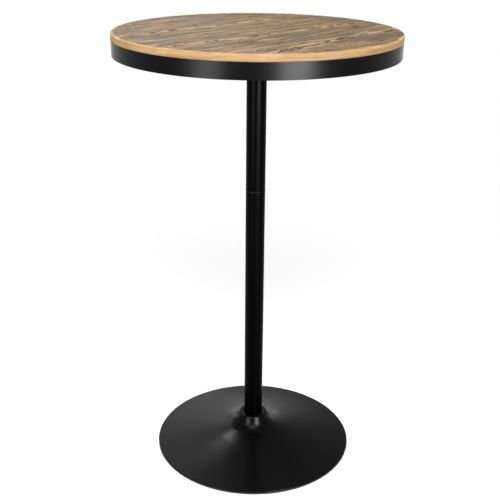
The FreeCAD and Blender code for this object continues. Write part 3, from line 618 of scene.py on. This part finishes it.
class Graph:
    """The nodes of a material or a world, made with short calls."""

    def __init__(self, owner):
        owner.use_nodes = True
        self.owner, self.tree = owner, owner.node_tree
        self.tree.nodes.clear()

    def put(self, socket, value):
        """Links a socket, or sets it, with an alpha of 1 added to a colour."""
        if isinstance(value, bpy.types.NodeSocket):
            self.tree.links.new(value, socket)
        elif isinstance(value, tuple) and len(socket.default_value) > len(value):
            socket.default_value = (*value, 1.0)
        else:
            socket.default_value = value

    def node(self, kind, settings=None, **inputs):
        made = self.tree.nodes.new(kind)
        for name, value in (settings or {}).items():
            setattr(made, name, value)
        for name, value in inputs.items():
            self.put(made.inputs[name.replace("_", " ")], value)
        return made

    def join(self, kind, *values, **settings):
        """A node whose first inputs take the values in turn."""
        made = self.node(kind, settings)
        for socket, value in zip(made.inputs, values):
            self.put(socket, value)
        return made.outputs[0]

    def maths(self, operation, *values):
        return self.join("ShaderNodeMath", *values, operation=operation)

    def vector(self, operation, *values):
        return self.join("ShaderNodeVectorMath", *values, operation=operation)

    def place(self, turn=0.0, shift=(0, 0, 0)):
        """Coordinates on the piece in metres, turned about +Z and then shifted."""
        source = self.node("ShaderNodeTexCoord").outputs["Object"]
        spun_axes = self.node("ShaderNodeVectorRotate", {"rotation_type": "Z_AXIS"}, Vector=source,
                              Angle=turn).outputs[0]
        return self.vector("ADD", spun_axes, shift)

    def noise(self, vector, scale=1.0, detail=4.0, rough=0.55):
        return self.node("ShaderNodeTexNoise", Vector=vector, Scale=scale, Detail=detail,
                         Roughness=rough).outputs["Fac"]

    def streaks(self, vector, name):
        """Noise drawn out along the grain."""
        along, across, detail, rough, shift = STREAKS[name]
        shifted = self.vector("ADD", vector, (*shift, 0.0))
        stretched = self.vector("MULTIPLY", shifted, (along, across, across))
        return self.noise(stretched, 1.0, detail, rough)

    def attribute(self, name):
        """A mask that is stored on the mesh."""
        return self.node("ShaderNodeAttribute", {"attribute_name": name}).outputs["Fac"]

    def span(self, value, low, high, to_low=0.0, to_high=1.0):
        """An even step between two values, while another goes from low to high."""
        return self.node("ShaderNodeMapRange", {"interpolation_type": "SMOOTHSTEP"}, Value=value,
                         From_Min=low, From_Max=high, To_Min=to_low, To_Max=to_high).outputs[0]

    def mix(self, factor, a, b):
        made = self.node("ShaderNodeMix", {"data_type": "RGBA"})
        for index, value in ((0, factor), (6, a), (7, b)):
            self.put(made.inputs[index], value)
        return made.outputs[2]

    def layered(self, colour, grain, layers):
        """A colour under tones that follow the grain's streaks."""
        for name, start, full, strength, tone in layers:
            factor = self.span(grain[name], start, full, 0.0, strength)
            colour = self.mix(factor, colour, TONES[tone])
        return colour

    def bump(self, height, distance, strength):
        return self.node("ShaderNodeBump", Height=height, Strength=strength,
                         Distance=distance).outputs[0]

    def output(self, kind, result):
        self.put(self.node(kind).inputs["Surface"], result)
        return self.owner

    def surface(self, **inputs):
        """Ends a material with the shader that its colours, bump and gloss go to."""
        shader = self.node("ShaderNodeBsdfPrincipled", **inputs)
        return self.output("ShaderNodeOutputMaterial", shader.outputs[0])


def material_graph(name):
    return Graph(bpy.data.materials.new(name))


def late_rings(g, place, bent, broad):
    """Thin lines of dark late wood, side by side across the grain."""
    across = g.node("ShaderNodeSeparateXYZ", Vector=bent).outputs["Y"]
    swayed = g.maths("MULTIPLY_ADD", g.streaks(place, "ring_sway"), RING_SWAY,
                     g.maths("MULTIPLY", across, 1 / RING_SPACING))
    rings = g.maths("SINE", g.maths("MULTIPLY", swayed, 2 * math.pi))
    return g.maths("MULTIPLY", g.span(rings, 0.35, 0.95), g.span(broad, 0.6, 0.4, 0.1, 0.6))


def pale_side(g, place, fine):
    """Colour of the boards' side: pale bands of grain that climb and fall a little."""
    climb = g.join("ShaderNodeCombineXYZ", 0.0, 0.0,
                   g.maths("MULTIPLY", g.streaks(place, "side_slope"), SIDE_BANDS))
    bands = g.noise(g.vector("ADD", g.vector("MULTIPLY", place, SIDE_STRETCH), climb))
    side = g.mix(g.span(bands, 0.38, 0.62), TONES["side"], TONES["side_mid"])
    patch = g.span(g.streaks(place, "side_patch"), 0.4, 0.65, 0.0, 0.4)
    side = g.mix(patch, side, TONES["side_pale"])
    return g.mix(g.span(fine, 0.52, 0.3, 0.0, 0.2), side, TONES["side"])


def weathered_wood(number):
    """Brushed, stained boards with splits and worn seams, and a clear-coated pale side."""
    g = material_graph(f"weathered_wood_{number}")
    place = g.place(-GRAIN_TURN, tuple(number * step for step in BOARD_SHIFT))
    sway = g.node("ShaderNodeTexNoise", Vector=place, Scale=BEND_SCALE, Detail=2.0).outputs["Color"]
    bent = g.vector("ADD", place, g.vector("MULTIPLY", sway, (0.0, GRAIN_BEND, GRAIN_BEND)))
    grain = {name: g.streaks(bent, name)
             for name in ("broad", "medium", "fine", "pores", "blotch", "gash", "bright")}
    broad, fine = grain["broad"], grain["fine"]
    late_wood = late_rings(g, place, bent, broad)

    colour = g.mix(g.span(broad, 0.36, 0.62), TONES["dark"], TONES["mid"])
    colour = g.layered(colour, grain, UNDER_LAYERS)
    colour = g.mix(late_wood, colour, TONES["line"])
    colour = g.layered(colour, grain, OVER_LAYERS)
    colour = g.mix(g.maths("MULTIPLY", g.attribute("pale"), PALE_STRENGTH), colour, TONES["pale"])
    for mask, (tone, *fine_span) in MASK_LAYERS.items():
        factor = g.maths("MULTIPLY", g.attribute(mask), g.span(fine, *fine_span))
        colour = g.mix(factor, colour, TONES[tone])

    colour = g.mix(g.attribute("rim"), colour, pale_side(g, place, fine))
    relief = g.maths("MULTIPLY_ADD", late_wood, 0.5, g.maths("ADD", fine, grain["pores"]))
    return g.surface(Base_Color=colour, Specular_IOR_Level=WOOD_GLOSS,
                     Normal=g.bump(relief, WOOD_BUMP, 0.5),
                     Roughness=g.span(broad, *NOISE_SPAN, *WOOD_ROUGHNESS))


def powder_coat(name, tone, level, rough):
    """Satin black powder coat: a faint orange-peel skin with slightly uneven gloss."""
    g = material_graph(name)
    place = g.place()
    cloudy = g.noise(place, COAT_CLOUDS, 3.0)
    peel = g.noise(place, COAT_PEEL, 2.0, 0.5)
    darker = tuple(share * tone for share in COAT_SHARES)
    return g.surface(Base_Color=g.mix(cloudy, darker, (tone,) * 3),
                     Specular_IOR_Level=level, Normal=g.bump(peel, PEEL_DEPTH, 0.3),
                     Roughness=g.span(cloudy, *NOISE_SPAN, rough - COAT_ROUGH_SPREAD,
                                      rough + COAT_ROUGH_SPREAD))


def bare_metal(name, colour, rough, grain):
    """Plated or turned steel with a fine lay and some tarnish."""
    g = material_graph(name)
    place = g.place()
    tarnish = g.noise(place, TARNISH)
    lay = g.noise(g.vector("MULTIPLY", place, LAY_STRETCH), grain, 2.0)
    darker = tuple(TARNISH_SHARE * part for part in colour)
    return g.surface(Base_Color=g.mix(tarnish, darker, colour), Metallic=1.0,
                     Roughness=g.span(tarnish, *NOISE_SPAN, rough - METAL_ROUGH_LESS,
                                      rough + METAL_ROUGH_MORE),
                     Normal=g.bump(lay, LAY_DEPTH, 0.4))


def dull(name, tone, rough, grain, distance):
    """Rubber, nylon or sand-cast iron, by the size and depth of its grain."""
    g = material_graph(name)
    speckle = g.noise(g.place(), grain, 4.0, 0.6)
    return g.surface(Base_Color=g.mix(speckle, (SPECKLE_SHARE * tone,) * 3, (tone,) * 3),
                     Roughness=g.span(speckle, *NOISE_SPAN, rough - DULL_ROUGH_SPREAD,
                                      rough + DULL_ROUGH_SPREAD),
                     Normal=g.bump(speckle, distance, 0.6))


# Finishes by material slot, or by node where one differs from its slot. Coats have a tone, gloss
# and roughness, metals a colour, roughness and lay, and dull stuffs a tone, roughness and grain.
FINISHES = {
    "band_steel": powder_coat("black_coat_band", 0.0030, 0.06, 0.29),
    "pole_steel": powder_coat("black_coat_pole", 0.0001, 0.022, 0.32),
    # The plug's coat is paler than the pole's, as a painted highlight along the pole's seam
    "lower_joint_plug": powder_coat("black_coat_seam_painted_highlight", 0.0170, 0.06, 0.35),
    "foot_steel": powder_coat("black_coat_foot", 0.0028, 0.040, 0.24),
    "frame_steel": powder_coat("black_coat_frame", 0.0060, 0.15, 0.42),
    "turned_steel": bare_metal("turned_steel_finish", (0.45, 0.45, 0.46), 0.3, 900.0),
    "zinc_steel": bare_metal("zinc_plate", (0.60, 0.60, 0.58), 0.35, 1800.0),
    "bush_plastic": dull("black_nylon", 0.012, 0.5, 400.0, 0.05 * MM),
    "guard_rubber": dull("black_rubber", 0.006, 0.75, 900.0, 0.06 * MM),
    "ballast_iron": dull("cast_iron_primer", 0.03, 0.7, 260.0, 0.35 * MM),
}


def finish_nodes():
    """Gives the CAD nodes that stay in sight their finishes."""
    for part in frame["record"]["subparts"]:
        finish = FINISHES.get(part["node"], FINISHES.get(part["material_slot"]))
        if finish:
            piece = frame["nodes"][part["node"]]
            piece.data.materials.clear()
            piece.data.materials.append(finish)


# Camera, lamps and floor

def make_camera():
    """A camera turned by its tilt down, its pan and its roll."""
    data = bpy.data.cameras.new("camera")
    data.sensor_width, data.lens = CAMERA_SENSOR, CAMERA_LENS
    data.dof.use_dof = False
    ahead = Vector((math.sin(CAMERA_PAN) * math.cos(CAMERA_TILT),
                    math.cos(CAMERA_PAN) * math.cos(CAMERA_TILT), -math.sin(CAMERA_TILT)))
    level = Vector((math.cos(CAMERA_PAN), -math.sin(CAMERA_PAN), 0.0))
    right = Matrix.Rotation(-CAMERA_ROLL, 3, ahead) @ level
    axes = Matrix((right, right.cross(ahead), -ahead)).transposed()
    camera = bpy.data.objects.new("camera", data)
    camera.matrix_world = Matrix.Translation(CAMERA_PLACE) @ axes.to_4x4()
    bpy.context.scene.collection.objects.link(camera)
    bpy.context.scene.camera = camera


def soft_box(name, degrees, distance, height, width, length, watts, aim):
    """A rectangular lamp that faces the table's axis at the height of its aim."""
    data = bpy.data.lights.new(name, "AREA")
    data.shape = "RECTANGLE"
    data.size, data.size_y, data.energy = width, length, watts
    lamp = bpy.data.objects.new(name, data)
    angle = math.radians(degrees)
    lamp.location = (distance * math.sin(angle), -distance * math.cos(angle), height)
    towards = Vector((0, 0, aim)) - lamp.location
    lamp.rotation_euler = towards.to_track_quat("-Z", "Y").to_euler()
    lamp.visible_camera = False
    lamp.visible_diffuse = name not in SHEEN_LAMPS
    bpy.context.scene.collection.objects.link(lamp)


def seen_share(g):
    """1 for rays that look at the background, 0 for rays that gather soft light."""
    path = g.node("ShaderNodeLightPath")
    shiny = g.maths("MAXIMUM", path.outputs["Is Glossy Ray"], path.outputs["Is Transmission Ray"])
    return g.maths("MAXIMUM", path.outputs["Is Camera Ray"], shiny)


def make_world():
    """White background, and soft light from all round."""
    world = bpy.data.worlds.new("studio")
    bpy.context.scene.world = world
    g = Graph(world)
    strength = g.maths("MULTIPLY_ADD", seen_share(g), BACKGROUND - FILL_LIGHT, FILL_LIGHT)
    light = g.node("ShaderNodeBackground", Color=(1, 1, 1), Strength=strength)
    g.output("ShaderNodeOutputWorld", light.outputs[0])


def make_floor():
    """Pale floor: paint that takes the shadow, fading to the white background further off."""
    mesh = bpy.data.meshes.new("floor")
    corners = [(x * FLOOR_HALF, y * FLOOR_HALF, 0) for x, y in ((-1, -1), (1, -1), (1, 1), (-1, 1))]
    mesh.from_pydata(corners, [], [(0, 1, 2, 3)])
    floor = bpy.data.objects.new("floor", mesh)
    bpy.context.scene.collection.objects.link(floor)
    g = material_graph("floor")
    seen = seen_share(g)
    away = g.node("ShaderNodeVectorMath", {"operation": "LENGTH"},
                  Vector=g.node("ShaderNodeTexCoord").outputs["Object"]).outputs["Value"]
    far_share = g.maths("MULTIPLY", seen, g.span(away, FLOOR_NEAR, FLOOR_FAR))
    paint = g.node("ShaderNodeBsdfDiffuse", Color=(FLOOR_PAINT,) * 3).outputs[0]
    glow = g.node("ShaderNodeEmission", Strength=g.maths("MULTIPLY", seen, FLOOR_GLOW)).outputs[0]
    far = g.node("ShaderNodeEmission", Strength=BACKGROUND).outputs[0]
    near = g.join("ShaderNodeAddShader", paint, glow)
    above = g.join("ShaderNodeMixShader", far_share, near, far)
    backside = g.node("ShaderNodeNewGeometry").outputs["Backfacing"]
    below = g.node("ShaderNodeBsdfTransparent").outputs[0]
    mesh.materials.append(g.output("ShaderNodeOutputMaterial",
                                   g.join("ShaderNodeMixShader", backside, above, below)))


make_camera()
table_top()
welds()
finish_nodes()
make_world()
make_floor()
for lamp_name, lamp_values in LAMPS.items():
    soft_box(lamp_name, *lamp_values)
bpy.context.scene.view_settings.view_transform = "Standard"
